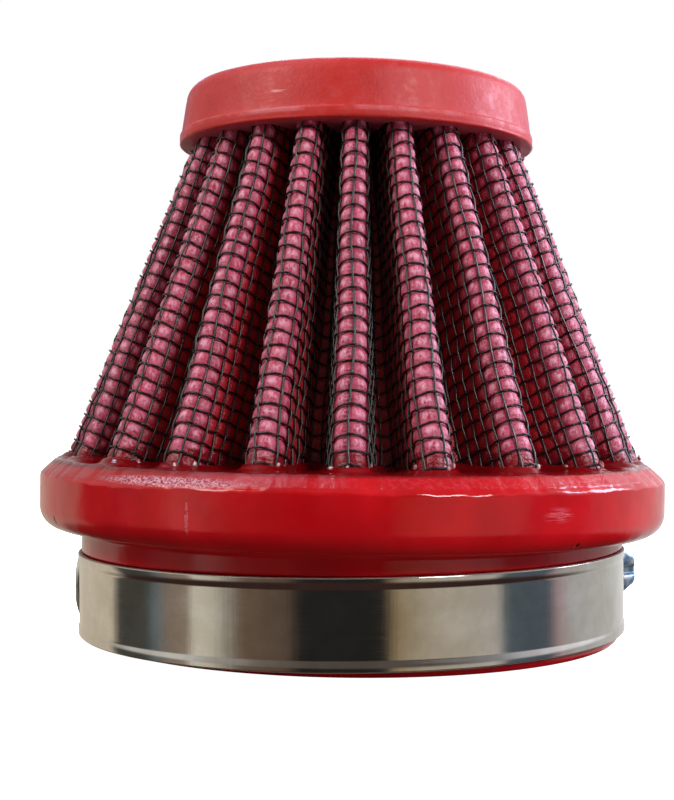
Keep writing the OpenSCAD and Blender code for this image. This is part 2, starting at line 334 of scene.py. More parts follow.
def height_zone(tree, height, rise, fall):
    """1 between two heights and 0 beyond them, with a soft end over each span in millimetres."""
    ends = [add(tree, "MapRange", {0: height, 1: a, 2: b}, **SOFT) for a, b in (rise, fall)]
    return add(tree, "Math", {0: ends[0], 1: ends[1]}, **PRODUCT)


def near(tree, mm, spot, size, reach=(1.0, 1.0, 1.0)):
    """1 at a spot in millimetres and 0 beyond size from it; reach stretches it along each axis."""
    scaled = add(tree, "VectorMath", {0: mm, 1: [1 / r for r in reach]}, operation="MULTIPLY")
    target = [c / r for c, r in zip(spot, reach)]
    gap = add(tree, "VectorMath", {0: scaled, 1: target}, operation="DISTANCE")
    return add(tree, "MapRange", {0: gap, 1: size, 2: size * 0.4}, **SOFT)


def lay_marks(tree, body, marks):
    """Blends marks over a body colour, each a mask, its strength and its colour."""
    for mask, strength, code in marks:
        if strength < 1:
            mask = add(tree, "Math", {0: mask, 1: strength}, **PRODUCT)
        body = add(tree, "Mix", {0: mask, 6: body, 7: srgb(code)}, **COLOURS)
    return body


def fold_depth(tree, mm):
    """How deep a point lies below the slanted tips of the folds, in millimetres."""
    slant = (FOOT["reach"] - HEAD["reach"]) / PACK_H
    height = add(tree, "SeparateXYZ", {0: mm}).outputs["Z"]
    flat = add(tree, "VectorMath", {0: mm, 1: (1, 1, 0)}, operation="MULTIPLY")
    radius = add(tree, "VectorMath", {0: flat}, operation="LENGTH")
    cone = add(tree, "Math", {0: height, 1: slant, 2: radius}, operation="MULTIPLY_ADD")
    surface = FOOT["reach"] + MEDIA_HALF + 0.4 + slant * FLANGE_TOP_Z
    return add(tree, "Math", {0: surface, 1: cone}, operation="SUBTRACT")


def on_rim(x, z, r):
    """Place on the front of a moulding at x to the right, z up and radius r."""
    return (x, -math.sqrt(r * r - x * x), z)


def gloss_polyurethane():
    """Cast polyurethane with a wet gloss: sharp reflections over a deep, slightly uneven red."""
    material, tree, mm = new_material("gloss cast polyurethane")
    top = FLANGE_TOP_Z
    axes = add(tree, "SeparateXYZ", {0: mm})
    height = axes.outputs["Z"]
    # The pigment is mixed in a little unevenly
    patches = blotches(tree, mm, 9.0, 0.3, 0.7)
    body = add(tree, "Mix", {0: patches, 6: srgb("#b90a13"), 7: srgb("#cd1019")}, **COLOURS)
    # Chalky skin on the trimmed upper edge, gone at the thumb dent; it is laid on far more on the
    # right as a painted highlight, where the light falls from the right
    edge = height_zone(tree, height, (top - 2.1, top - 1.7), (top + 0.05, top - 0.15))
    dented = near(tree, mm, on_rim(2.6, top - 1, FLANGE_R - 1), 2.1)
    sound = add(tree, "Math", {0: 1.0, 1: dented}, operation="SUBTRACT")
    edge = add(tree, "Math", {0: edge, 1: sound}, **PRODUCT)
    right = add(tree, "MapRange", {0: axes.outputs["X"], 1: -22.0, 2: 10.0, 3: 0.1, 4: 1.0}, **SOFT)
    crust = add(tree, "TexNoise", {"Vector": mm, "Scale": 1 / 0.7, "Detail": 4.0, "Roughness": 0.6})
    flakes = add(tree, "MapRange", {0: crust, 1: 0.4, 2: 0.75, 3: 0.0, 4: 0.6}, **SOFT)
    chalk = add(tree, "Math", {0: edge, 1: right}, **PRODUCT)
    chalk = add(tree, "Math", {0: chalk, 1: flakes}, **PRODUCT)
    # Painted shade: the trimmed edge is darkened on the left, to hold down the light that its upward
    # slant catches
    left = add(tree, "Math", {0: 1.0, 1: right}, operation="SUBTRACT")
    cut = add(tree, "MapRange", {0: height, 1: top - 2.3, 2: top - 1.5, 3: 0.0, 4: 0.6}, **SOFT)
    cut = add(tree, "Math", {0: left, 1: cut}, **PRODUCT)
    # Painted shade: the top is darkened as well, to hold down the light that it catches from above
    thin = add(tree, "MapRange", {0: height, 1: top - 0.7, 2: top - 0.2, 3: 0.0, 4: 0.85}, **SOFT)
    # A paler strip with a slight ridge runs up and down the front left
    pale_strip = near(tree, mm, on_rim(-22.0, 21.2, FLANGE_R), 0.45, (1, 1, 8))
    pale_strip = add(tree, "Math", {0: pale_strip, 1: blotches(tree, mm, 0.35, 0.36, 0.54)}, **PRODUCT)
    # Level scuffs from handling on the right
    lines = streaks(tree, mm, (0.3, 0.3, 3.2))
    lines = add(tree, "MapRange", {0: lines, 1: 0.45, 2: 0.62}, **SOFT)
    rubbed = near(tree, mm, on_rim(28.0, 22.0, FLANGE_R), 3.4, (1, 1, 0.4))
    scuff = add(tree, "Math", {0: rubbed, 1: lines}, **PRODUCT)
    # Painted glint: a strip of pale grains with a little relief along the left of the edge, where it
    # catches the skylight
    glint_grains = near(tree, mm, on_rim(-25.0, top - 1.5, FLANGE_R - 0.6), 1.0, (15, 15, 0.85))
    glint_grains = add(tree, "Math", {0: glint_grains, 1: blotches(tree, mm, 0.3, 0.42, 0.56)}, **PRODUCT)
    # Two nicks low on the rim, painted dark for the shade inside them
    nick_left = near(tree, mm, on_rim(-43.6, 19.2, 49.6), 0.62, (1, 1, 1.5))
    nick_right = near(tree, mm, on_rim(30.9, 17.6, 48.9), 0.55, (1, 1, 1.2))
    shaded_nicks = add(tree, "Math", {0: nick_left, 1: nick_right}, operation="MAXIMUM")
    body = lay_marks(tree, body, (
        (chalk, 1.0, "#c93c4a"),
        (cut, 1.0, "#94060d"),
        (thin, 1.0, "#6e0409"),
        (pale_strip, 1.0, "#d9606c"),
        (scuff, 0.7, "#d84e5c"),
        (glint_grains, 0.85, "#eeb4c6"),
        (shaded_nicks, 1.0, "#5c0409"),
    ))
    # Every mark but the nicks is more matt than the cast skin
    matt = add(tree, "Math", {0: chalk, 1: pale_strip}, operation="MAXIMUM")
    matt = add(tree, "Math", {0: matt, 1: scuff}, operation="MAXIMUM")
    skin = blotches(tree, mm, 5.0, 0.35, 0.75, to=(0.11, 0.2))
    rough = add(tree, "Math", {0: matt, 1: 0.22, 2: skin}, operation="MULTIPLY_ADD")
    waves = add(tree, "TexNoise", {"Vector": mm, "Scale": 1 / 7.0, "Detail": 2.0})
    grit = add(tree, "TexNoise", {"Vector": mm, "Scale": 1 / 0.4, "Detail": 2.0})
    crust = add(tree, "Math", {0: edge, 1: crust}, **PRODUCT)
    sockets = {
        "Base Color": body,
        "Roughness": rough,
        "IOR": 1.5,
        "Subsurface Weight": 0.06,
        "Subsurface Radius": (1.0, 0.2, 0.15),
        "Subsurface Scale": 1.2 * MM,
    }
    relief = (
        (waves, 0.16), (grit, 0.006), (crust, 0.14), (scuff, 0.03), (pale_strip, 0.05), (glint_grains, 0.06),
        (shaded_nicks, -0.12),
    )
    return finish(material, sockets, relief)


def satin_polyurethane():
    """Cast polyurethane with a satin skin: broad soft highlights and a faint chalky bloom."""
    material, tree, mm = new_material("satin cast polyurethane")
    patches = blotches(tree, mm, 7.0, 0.3, 0.7, 4.0)
    body = add(tree, "Mix", {0: patches, 6: srgb("#c2231d"), 7: srgb("#cc2d26")}, **COLOURS)
    bloom = add(tree, "TexNoise", {"Vector": mm, "Scale": 1 / 2.2, "Detail": 5.0, "Roughness": 0.7})
    chalk = add(tree, "MapRange", {0: bloom, 1: 0.5, 2: 0.8, 3: 0.0, 4: 0.3}, **SOFT)
    # The bead round the lower edge is rubbed bright here and there
    height = add(tree, "SeparateXYZ", {0: mm}).outputs["Z"]
    low = CAP_LOW_Z
    bead = height_zone(tree, height, (low + 0.9, low + 1.3), (low + 2.0, low + 1.6))
    worn = blotches(tree, mm, 4.0, 0.4, 0.65, to=(0.0, 0.5))
    rubbed = add(tree, "Math", {0: bead, 1: worn}, **PRODUCT)
    # A few pale streaks on the front left
    lines = streaks(tree, mm, (0.3, 0.3, 2.6))
    lines = add(tree, "MapRange", {0: lines, 1: 0.55, 2: 0.66}, **SOFT)
    streak_patch = near(tree, mm, on_rim(-11.3, 82.1, LIP_R - 0.6), 2.6)
    pale_streaks = add(tree, "Math", {0: streak_patch, 1: lines}, **PRODUCT)
    body = lay_marks(tree, body, (
        (chalk, 1.0, "#dc6c7c"), (rubbed, 1.0, "#e08088"), (pale_streaks, 0.6, "#eab0b0"),
    ))
    dents = add(tree, "TexNoise", {"Vector": mm, "Scale": 1 / 4.5, "Detail": 3.0})
    grain = add(tree, "TexNoise", {"Vector": mm, "Scale": 1 / 0.5, "Detail": 3.0})
    sockets = {
        "Base Color": body,
        "Roughness": add(tree, "MapRange", {0: bloom, 1: 0.3, 2: 0.7, 3: 0.42, 4: 0.6}, **SOFT),
        "IOR": 1.5,
        "Sheen Weight": 0.6,
        "Sheen Roughness": 0.22,
        "Sheen Tint": srgb("#e8d0ff"),
        "Subsurface Weight": 0.08,
        "Subsurface Radius": (1.0, 0.25, 0.2),
        "Subsurface Scale": 1.5 * MM,
    }
    return finish(material, sockets, ((dents, 0.14), (grain, 0.045)))


def oiled_gauze():
    """Cotton gauze soaked in tacky oil: rose red with pale threads, a painted highlight in each
    opening, painted shade deep in the folds, and resin at its feet.
    """
    material, tree, mm = new_material("oiled cotton gauze")
    cloth = add(tree, "UVMap", uv_map="cloth")
    soak = add(tree, "TexNoise", {"Vector": mm, "Scale": 1 / 3.0, "Detail": 4.0, "Roughness": 0.6})
    soaked = add(tree, "MapRange", {0: soak, 1: 0.35, 2: 0.66}, **SOFT)
    body = add(tree, "Mix", {0: soaked, 6: srgb("#a3183a"), 7: srgb("#c93a5e")}, **COLOURS)
    # Loose fibres stand out in pale streaks, laid on most of all in the middle of each opening of the
    # screen as a painted highlight, where the swelling cotton faces the light; one opening is one wave
    across, along = [
        add(tree, "TexWave", {"Vector": cloth, "Scale": math.pi / 10}, bands_direction=way)
        for way in ("X", "Y")
    ]
    middle = add(tree, "Math", {0: across.outputs["Fac"], 1: along.outputs["Fac"]}, **PRODUCT)
    middle = add(tree, "MapRange", {0: middle, 1: 0.1, 2: 0.9, 3: 0.2, 4: 1.0}, **SOFT)
    fluff = streaks(tree, mm, (1.9, 1.9, 0.7), 5.0, 0.65)
    fibre_highlights = add(tree, "MapRange", {0: fluff, 1: 0.36, 2: 0.62}, **SOFT)
    fibre_highlights = add(tree, "Math", {0: middle, 1: fibre_highlights}, **PRODUCT)
    # Painted shade: the cotton is darkened the deeper it lies below the tips of the folds
    fold_shade = add(tree, "MapRange", {0: fold_depth(tree, mm), 1: 0.8, 2: 4.5}, **SOFT)
    # Resin wicks up the cotton from the flange, to a ragged line
    height = add(tree, "SeparateXYZ", {0: mm}).outputs["Z"]
    ragged = add(tree, "TexNoise", {"Vector": mm, "Scale": 1 / 1.6, "Detail": 3.0})
    ragged = add(tree, "Math", {0: ragged, 1: 3.0, 2: height}, operation="MULTIPLY_ADD")
    line = FLANGE_TOP_Z + 4.0
    wick = add(tree, "MapRange", {0: ragged, 1: line + 0.4, 2: line - 0.4}, **SOFT)
    body = lay_marks(tree, body, (
        (fibre_highlights, 0.9, "#f0a8c2"), (fold_shade, 1.0, "#a8121f"), (wick, 1.0, "#86071a"),
    ))
    # Four gauze threads to each opening, about 0.5 mm apart
    thread = {"Vector": cloth, "Scale": 0.4 * math.pi, "Distortion": 1.2, "Detail": 2.0}
    warp, weft = [add(tree, "TexWave", thread, bands_direction=way) for way in ("X", "Y")]
    threads = {0: warp.outputs["Fac"], 1: weft.outputs["Fac"]}
    weave = add(tree, "Math", threads, operation="MAXIMUM")
    lint = add(tree, "TexNoise", {"Vector": mm, "Scale": 1 / 0.22, "Detail": 3.0, "Roughness": 0.6})
    # Oil gives the cotton a damp shine, and resin more of it
    damp = add(tree, "MapRange", {0: soak, 1: 0.3, 2: 0.7, 3: 0.34, 4: 0.5}, **SOFT)
    glazed = add(tree, "MapRange", {0: wick, 3: 1.0, 4: 0.4})
    sockets = {
        "Base Color": body,
        "Roughness": add(tree, "Math", {0: damp, 1: glazed}, **PRODUCT),
        "IOR": 1.5,
        "Sheen Weight": 0.25,
        "Sheen Roughness": 0.4,
        "Sheen Tint": srgb("#ffc4d0"),
    }
    return finish(material, sockets, ((weave, 0.03), (fluff, 0.12), (lint, 0.03)))


def pale_glint_resin():
    """Beads of resin, glassy, with pale patches painted over a dark red as painted glints."""
    material, tree, mm = new_material("resin beads painted with glints")
    glint_patches = blotches(tree, mm, 0.6, 0.35, 0.65, 2.0)
    body = add(tree, "Mix", {0: glint_patches, 6: srgb("#a02430"), 7: srgb("#f4e4e0")}, **COLOURS)
    return finish(material, {"Base Color": body, "Roughness": 0.12, "IOR": 1.5})


def coated_wire(name, code):
    """Drawn steel wire under a thin dark epoxy coat: near black with small sharp glints."""
    material, tree, mm = new_material(name)
    worn = blotches(tree, mm, 1.2, 0.55, 0.75, 4.0, 0.6, (0.0, 0.5))
    sockets = {
        "Base Color": add(tree, "Mix", {0: worn, 6: srgb(code), 7: srgb("#4a504d")}, **COLOURS),
        "Metallic": 0.1,
        "Roughness": blotches(tree, mm, 0.5, 0.3, 0.7, 2.0, to=(0.24, 0.42)),
        "IOR": 1.55,
    }
    return finish(material, sockets)


def rolled_stainless():
    """Cold-rolled stainless strip: mirror-like reflections, drawn out along its rolling lines."""
    material, tree, mm = new_material("cold-rolled stainless strip")
    # Rolling lines run round the band and are about 0.12 mm apart
    lines = streaks(tree, mm, (0.05, 0.05, 8.0), 3.0, 0.6)
    # Bending the strip round leaves faint upright ripples
    ripple = streaks(tree, mm, (0.45, 0.45, 0.02), 4.0, 0.6)
    smudge = blotches(tree, mm, 6.0, 0.35, 0.7, 4.0, 0.6)
    sockets = {
        "Base Color": add(tree, "Mix", {0: smudge, 6: srgb("#cfc8bc"), 7: srgb("#dedad2")}, **COLOURS),
        "Metallic": 1.0,
        "Roughness": add(tree, "MapRange", {0: lines, 1: 0.25, 2: 0.75, 3: 0.07, 4: 0.15}, **SOFT),
    }
    return finish(material, sockets, ((ripple, 0.012), (lines, 0.002)))


def sheared_stainless():
    """Cut edges of the strip: torn, dull and greyer than its rolled faces."""
    material, tree, mm = new_material("sheared stainless edge")
    torn = add(tree, "TexNoise", {"Vector": mm, "Scale": 1 / 0.3, "Detail": 3.0, "Roughness": 0.6})
    sockets = {
        "Base Color": add(tree, "Mix", {0: torn, 6: srgb("#a3a092"), 7: srgb("#d0ccc0")}, **COLOURS),
        "Metallic": 0.35,
        "Roughness": add(tree, "MapRange", {0: torn, 1: 0.3, 2: 0.7, 3: 0.4, 4: 0.6}, **SOFT),
    }
    return finish(material, sockets)


def stamped_stainless():
    """Stamped stainless sheet: duller than the strip, with rolled corners and fine die scratches."""
    material, tree, mm = new_material("stamped stainless sheet")
    die = {"Vector": mm, "Scale": 1 / 0.4, "Detail": 4.0, "Roughness": 0.7}
    scratches = add(tree, "TexNoise", die)
    rough = {0: scratches, 1: 0.3, 2: 0.7, 3: 0.26, 4: 0.44}
    sockets = {
        "Base Color": srgb("#b9bab6"),
        "Metallic": 1.0,
        "Roughness": add(tree, "MapRange", rough, **SOFT),
    }
    corners = add(tree, "Bevel", {"Radius": 0.25 * MM}, samples=6)
    return finish(material, sockets, [(scratches, 0.005)], corners)


def blue_zinc():
    """Steel under blue-passivated zinc plate: a cool satin metal, greyer where it is rubbed."""
    material, tree, mm = new_material("blue passivated zinc plate")
    cloud = add(tree, "TexNoise", {"Vector": mm, "Scale": 1 / 1.6, "Detail": 3.0})
    rubbed = add(tree, "MapRange", {0: cloud, 1: 0.35, 2: 0.65}, **SOFT)
    sockets = {
        "Base Color": add(tree, "Mix", {0: rubbed, 6: srgb("#62889c"), 7: srgb("#b0b8bb")}, **COLOURS),
        "Metallic": 0.65,
        "Roughness": add(tree, "MapRange", {0: cloud, 1: 0.3, 2: 0.7, 3: 0.3, 4: 0.45}, **SOFT),
    }
    corners = add(tree, "Bevel", {"Radius": 0.15 * MM}, samples=6)
    return finish(material, sockets, corners=corners)


# Mouldings


def arc_points(centre, radius, start, stop, count):
    """Points on an arc in the (radius, height) plane, angles in degrees."""
    a = np.radians(np.linspace(start, stop, count))
    return [(centre[0] + radius * math.cos(v), centre[1] + radius * math.sin(v)) for v in a]


def line_points(a, b, count):
    """Points from a to b, without b."""
    return [tuple(np.array(a) + (np.array(b) - np.array(a)) * i / count) for i in range(count)]


def lathe(profile, segments):
    """Points of a closed profile turned about Z, as (profile, segments, 3)."""
    profile = np.array(profile)
    turn = np.arange(segments) * 2 * math.pi / segments
    flat = profile[:, None, :1] * unit(turn)
    z = np.broadcast_to(profile[:, None, 1:], flat.shape[:2] + (1,))
    return np.concatenate([flat, z], axis=-1), turn


def wall_distance(points, line):
    """Distance from points in the plane to the folded wall's middle line."""
    tree = KDTree(len(line))
    for i, p in enumerate(line):
        tree.insert(Vector((p[0], p[1], 0)), i)
    tree.balance()
    return np.array([tree.find(Vector((p[0], p[1], 0)))[2] for p in points])


def flange_profile():
    """Outline of the flange and neck as (radius, height): over the rim, down and up the bore."""
    top_z = FLANGE_TOP_Z
    # The upper edge is trimmed to a slant between two soft corners
    slant_w, slant_h, soft = 1.9, 1.8, 0.95
    low_round, fillet, end_round = 3.5, 1.0, 0.8
    slant_from = (FLANGE_R - slant_w - 0.2, top_z - 0.33)
    slant_to = (FLANGE_R - 0.3, top_z - slant_h - 0.2)
    return [
        *line_points((THROAT_R, top_z), (FLANGE_R - slant_w - soft, top_z), 34),
        *arc_points((FLANGE_R - slant_w - soft, top_z - soft), soft, 90, 48, 7),
        *line_points(slant_from, slant_to, 9),
        *arc_points((FLANGE_R - soft, top_z - slant_h - soft), soft, 42, 0, 7),
        *arc_points((FLANGE_R - low_round, NECK_H + low_round), low_round, 0, -90, 12),
        *line_points((FLANGE_R - low_round - 0.5, NECK_H), (NECK_R + fillet, NECK_H), 3),
        *arc_points((NECK_R + fillet, NECK_H - fillet), fillet, 90, 180, 6),
        # Rows lie close together where the neck swells above the band
        *line_points((NECK_R, NECK_H - fillet - 0.2), (NECK_R, 14.8), 3),
        *line_points((NECK_R, 14.8), (NECK_R, 12.6), 12),
        *line_points((NECK_R, 12.6), (NECK_R, end_round), 5),
        *arc_points((NECK_R - end_round, end_round), end_round, 0, -90, 6),
        *line_points((NECK_R - end_round - 0.3, 0), (BORE_R, 0), 3),
        *line_points((BORE_R, 0), (BORE_R, PIPE_DEPTH), 8),
        *line_points((BORE_R, PIPE_DEPTH), (THROAT_R, PIPE_DEPTH), 4),
        *line_points((THROAT_R, PIPE_DEPTH), (THROAT_R, top_z), 6),
    ]


def base_flange(material):
    """Flange and neck: the resin climbs the feet of the pleats, and the rim has casting dents."""
    top_z = FLANGE_TOP_Z
    profile = flange_profile()
    points, turn = lathe(profile, PLEATS * 30)
    radius, height = np.array(profile).T
    # The band squeezes the soft neck, which swells by half a millimetre just above its slanting
    # upper edge, 13.5 mm up at the axis
    band_top = 13.5 + math.tan(TILT) * points[:, :, 0]
    swell = soft_step((height[:, None] - band_top) / 0.45)
    swell *= ((radius > BORE_R + 1) & (radius < NECK_R + 1.5) & (height < NECK_H + 0.1))[:, None]
    points[:, :, :2] *= 1 + 0.5 * swell[:, :, None] / NECK_R
    # The top of the casting sinks a little here and there
    sink = 0.12 * (smooth_noise(turn * 2, 3, 6) - 1)
    on_top = np.clip((height - (top_z - 3)) / 3, 0, 1) * (radius > THROAT_R + 0.1)
    points[:, :, 2] += on_top[:, None] * sink[None]
    # The upper edge is trimmed by hand, so its width wanders
    trimmed = (height < top_z - 0.1) & (height > top_z - 3)
    nibble = 0.22 * smooth_noise(turn * 6, 51, 12) + 0.08 * smooth_noise(turn * 60, 52, 6)
    points[:, :, 2] += trimmed[:, None] * nibble[None]
    # One thumb dent, just right of the front
    side = (turn - math.radians(273)) * FLANGE_R
    dent = np.exp(-((side[None] / 1.3) ** 2) - ((height[:, None] - top_z + 1.3) / 1.2) ** 2)
    dent *= radius[:, None] > NECK_R + 3
    points[:, :, :2] *= 1 - 0.25 * dent[:, :, None] / FLANGE_R
    points[:, :, 2] -= 0.2 * dent
    # The casting is never quite round
    rim = np.clip((radius - NECK_R - 2) / 4, 0, 1)
    pull = 1 + rim[:, None] * 0.1 * (smooth_noise(turn * 3, 8, 6) - 1)[None] / FLANGE_R
    points[:, :, :2] *= pull[:, :, None]
    # The rim was cast a little out of level, higher on the left
    out_of_level = np.clip((radius - NECK_R) / 4, 0, 1) * (height > NECK_H - 0.1)
    points[:, :, 2] -= out_of_level[:, None] * 0.005 * points[:, :, 0]
    # Resin drawn up the feet of the pleats
    line = outline(np.arange(PLEATS * 60) / 60, FOOT)[0]
    flat = height > top_z - 0.05
    rows = int(flat.sum())
    gap = wall_distance(points[flat][:, :, :2].reshape(-1, 2), line) - 1.0
    climb = 1.15 * np.exp(-np.clip(gap, 0, None) / 0.55)
    climb *= 0.75 + 0.3 * np.tile(smooth_noise(turn * 9, 21, 6), rows)
    points[flat, :, 2] += climb.reshape(rows, -1)
    faces = grid_faces(len(profile), len(turn), close_rows=True, flip=True)
    piece = new_piece("flange_moulding", points.reshape(-1, 3), faces, material)
    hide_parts("base_flange")
    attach(piece, "filter")


def end_cap(material):
    """End cap: a draft, a soft upper edge, and a thin bead round its lower edge."""
    draft, soft, lip_h = 0.8, 2.5, 1.8
    cap_r = LIP_R - 0.25
    top_r = cap_r - draft
    low = CAP_LOW_Z
    side_top = CAP_TOP_Z - soft
    profile = [
        (0.001, low),
        *line_points((4, low), (LIP_R - 0.6, low), 12),
        *arc_points((LIP_R - 0.6, low + 0.6), 0.6, -90, 0, 6),
        *arc_points((LIP_R - 0.3, low + lip_h - 0.3), 0.3, 0, 70, 4),
        (cap_r + 0.02, low + lip_h + 0.08),
        *line_points((cap_r - 0.05, low + lip_h + 0.4), (top_r + 0.1, side_top - 0.3), 9),
        *arc_points((top_r - soft, side_top), soft, 4, 90, 12),
        *line_points((top_r - soft - 1, CAP_TOP_Z), (4, CAP_TOP_Z), 10),
        (0.001, CAP_TOP_Z),
    ]
    points, turn = lathe(profile, 360)
    radius, height = np.array(profile).T
    # The side is never quite round, and the top dips towards its edge
    side = (height > low + 0.3) & (height < CAP_TOP_Z - 0.01)
    pull = 1 + side[:, None] * 0.12 * (smooth_noise(turn * 2, 31, 7) - 1)[None] / cap_r
    points[:, :, :2] *= pull[:, :, None]
    dip = np.clip((height - side_top) / soft, 0, 1)
    wave = np.clip(radius / 15, 0, 1)[:, None] * smooth_noise(turn, 17, 4)[None]
    points[:, :, 2] += dip[:, None] * 0.1 * (wave - 1)
    faces = grid_faces(len(profile), len(turn))
    piece = new_piece("cap_moulding", points.reshape(-1, 3), faces, material)
    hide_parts("end_cap")
    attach(piece, "filter")


# The pleat pack


def cotton(material):
    """Folded cotton: it swells out a little through every opening of the outer screen."""
    per_warp, per_weft = 4, 3
    u = np.arange(WARPS * per_warp) / per_warp
    v = np.arange((LAST_WEFT + 1) * per_weft + 2) / per_weft - 1
    v, u = np.meshgrid(v, u, indexing="ij")
    middle, way = on_cloth(u, v)
    rng = np.random.default_rng(7)
    cells = rng.uniform(0.7, 1.1, (LAST_WEFT + 3, WARPS))
    cell = cells[np.floor(v + 1).astype(int), np.floor(u).astype(int)]
    # Each bulge is fullest low in its opening
    low = (v - np.floor(v)) ** 0.75
    swell = np.abs(np.sin(math.pi * u) * np.sin(math.pi * low)) ** 0.65 * cell
    outer = middle + (MEDIA_HALF + 0.02 + 0.42 * swell)[..., None] * way
    inner = middle[[-1, 0]] - MEDIA_HALF * way[[-1, 0]]
    points = np.concatenate([outer, inner])
    cloth_u = np.concatenate([u, u[:2]])
    cloth_v = np.concatenate([v, v[[-1, 0]]])
    uv = np.stack([cloth_u, cloth_v], axis=-1).reshape(-1, 2)
    faces = grid_faces(points.shape[0], points.shape[1], close_rows=True)
    piece = new_piece("cotton_pleats", points.reshape(-1, 3), faces, material, uv=uv)
    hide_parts("filter_media")
    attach(piece, "filter")


def warp_wires(middle, samples, sides):
    """Wires that run up the pleats, over one weft and under the next, middle off the cotton's."""
    v = np.arange((LAST_WEFT + 1) * samples + 2) / samples - 1
    u, v = np.meshgrid(np.arange(WARPS), v, indexing="ij")
    place, way = on_cloth(u, v)
    lift = middle - WEAVE * np.cos(math.pi * v) * np.cos(math.pi * u)
    return tubes(place + lift[..., None] * way, way, WIRE_R, sides, False)


def weft_wires(middle, samples, sides):
    """Wires that run round the pack through every fold, with more points over the tips."""
    u = []
    for warp in range(WARPS):
        run = (warp + 0.5) * PLEATS / WARPS
        over_tip = abs(run - round(run)) * WARPS / PLEATS < 1.6
        count = 2 * samples if over_tip else samples
        u += [warp + i / count for i in range(count)]
    u = np.array(u)
    v, u = np.meshgrid(np.arange(LAST_WEFT), u, indexing="ij")
    place, way = on_cloth(u, v)
    lift = middle + WEAVE * np.cos(math.pi * v) * np.cos(math.pi * u)
    return tubes(place + lift[..., None] * way, way, WIRE_R, sides, True)


def screens(warp_material, weft_material):
    """Outer and inner screens, each of woven wire."""
    for name, build, material in (
        ("outer_screen_warp", warp_wires, warp_material),
        ("outer_screen_weft", weft_wires, weft_material),
    ):
        points, faces = build(SCREEN_MID, 2, 5)
        piece = new_piece(name, points, faces, material)
        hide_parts("outer_screen")
        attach(piece, "filter")
    warp, warp_faces = warp_wires(-SCREEN_MID, 1, 4)
    weft, weft_faces = weft_wires(-SCREEN_MID, 1, 4)
    faces = warp_faces + [[i + len(warp) for i in f] for f in weft_faces]
    piece = new_piece("inner_screen_wires", np.concatenate([warp, weft]), faces, warp_material)
    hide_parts("inner_screen")
    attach(piece, "filter")


def resin_beads(material):
    """Small beads of resin, painted pale for their glints, where the wires of the outer screen enter
    the flange.
    """
    rng = np.random.default_rng(19)
    rings, sides = 5, 8
    polar = np.linspace(0.25, math.pi - 0.25, rings)
    turn = np.arange(sides) * 2 * math.pi / sides
    ball = np.stack([
        np.outer(np.sin(polar), np.cos(turn)),
        np.outer(np.sin(polar), np.sin(turn)),
        np.outer(np.cos(polar), np.ones(sides)),
    ], axis=-1).reshape(-1, 3)
    points = []
    faces = []
    for warp in range(WARPS):
        run = warp * PLEATS / WARPS
        off_tip = abs(run - round(run)) * WARPS / PLEATS
        chance, size, lift = rng.uniform(size=3)
        if off_tip > 2.3 or chance > 0.7:
            continue
        place, way = on_cloth(np.array([warp + 0.3 * (lift - 0.5)]), np.array([-0.35]))
        centre = place[0] + SCREEN_MID * way[0]
        centre[2] = FLANGE_TOP_Z + 0.35 + 0.6 * lift
        lumps = 1 + 0.35 * rng.uniform(-1, 1, (len(ball), 1))
        first = len(points) * len(ball)
        points.append(centre + ball * lumps * (0.17 + 0.2 * size) * np.array([1.0, 1.0, 1.3]))
        faces += grid_faces(rings, sides, first, flip=True)
        faces.append([first + i for i in range(sides)])
        faces.append([first + (rings - 1) * sides + i for i in range(sides)][::-1])
    piece = new_piece("resin_beads", np.concatenate(points), faces, material)
    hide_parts("base_flange")
    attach(piece, "filter")


# The clamp

# A half-inch strip with a raised rim along each edge
BAND_W = 12.7
BAND_T = 0.6
RIM_W = 1.4
RIM_H = 0.15
# It sits a degree askew, just clear of the neck and of the floor
TILT = math.radians(1)
BAND_GAP = 0.08
BAND_LIFT = 0.1
# Where the screw sits, how far the free end runs on from there, and how much of it is flat
SCREW_AZ = math.radians(32)
TAIL_TURN = math.radians(137.5)
TAIL_FLAT = 8.5
HOUSING_L = 13.0
BAND_IN_R = NECK_R + BAND_GAP + BAND_W / 2 * math.sin(TILT)
TAIL_IN_R = BAND_IN_R + BAND_T + RIM_H + 0.05
TAIL_OUT_R = TAIL_IN_R + BAND_T + RIM_H
CLAMP_Z = BAND_LIFT + BAND_W / 2 * math.cos(TILT) + TAIL_OUT_R * math.sin(TILT)


def from_clamp(points):
    """Points of the clamp's own frame in the part's frame."""
    c, s = math.cos(TILT), math.sin(TILT)
    x, y, z = points[..., 0], points[..., 1], points[..., 2]
    return np.stack([x * c - z * s, y, x * s + z * c + CLAMP_Z], axis=-1)


def strip_path():
    """Course of the strip in the clamp's own frame: inner face, outward directions and length."""
    full_turn = 2 * math.pi
    joggle = math.atan((HOUSING_L / 2 - 0.5) / TAIL_IN_R)
    turn = np.concatenate([
        np.linspace(0, full_turn - joggle, 300, endpoint=False),
        np.linspace(full_turn - joggle, full_turn, 12, endpoint=False),
        np.linspace(full_turn, full_turn + TAIL_TURN, 420, endpoint=False),
    ])
    rise = soft_step((turn - (full_turn - joggle)) / joggle)
    radius = BAND_IN_R + (TAIL_IN_R - BAND_IN_R) * rise
    outward = unit(turn + SCREW_AZ)
    inner = outward * radius[:, None]
    # The tip was never rolled, so it stands off the band almost straight
    close = np.linspace(TAIL_FLAT - 0.5, TAIL_FLAT, 6)
    flat = np.concatenate([np.linspace(0, TAIL_FLAT - 0.6, 34), close])
    way = SCREW_AZ + TAIL_TURN + 0.15 * flat / TAIL_IN_R
    steps = np.diff(flat, prepend=0.0)[:, None] * unit(way + math.pi / 2)
    tip = unit(SCREW_AZ + TAIL_TURN) * TAIL_IN_R + np.cumsum(steps, axis=0)
    arc = np.concatenate([turn * TAIL_IN_R, (full_turn + TAIL_TURN) * TAIL_IN_R + flat])
    return np.concatenate([inner, tip]), np.concatenate([outward, unit(way)]), arc


